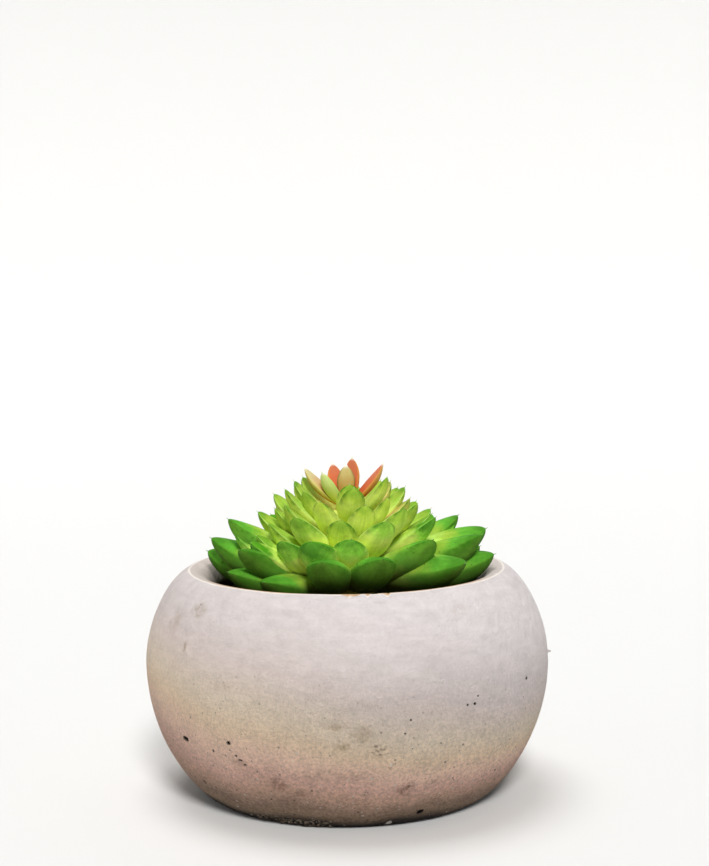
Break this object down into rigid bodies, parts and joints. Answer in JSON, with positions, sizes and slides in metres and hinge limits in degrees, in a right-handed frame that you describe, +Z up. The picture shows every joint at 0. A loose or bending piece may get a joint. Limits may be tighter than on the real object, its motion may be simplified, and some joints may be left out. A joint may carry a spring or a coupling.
{
  "type": "potted succulent",
  "caption": "Rosette succulent with thick pointed green leaves and a coral heart, planted in a round cast-concrete bowl with an inward-rolled rim.",
  "frame": {"origin": "centre of the pot's flat underside, on the surface that it stands on", "axes": "+Z up along the pot's axis, -Y towards the viewer of the picture, +X to the viewer's right"},
  "size_m": [0.12, 0.12, 0.0983],
  "materials": {
    "concrete": "matt cast concrete, pale warm grey above, mauve brown and pitted low down, with fine mottling",
    "soil": "dark crumbly potting soil, matt",
    "green_leaf": "smooth waxy leaf skin, lime at the base and deep green at the edge and tip",
    "coral_leaf": "smooth waxy leaf skin, coral red to tan with pale tips"
  },
  "bodies": {
    "root": {"pot": "concrete", "soil": "soil", "rosette": "green_leaf", "heart": "coral_leaf"}
  },
  "joints": []
}
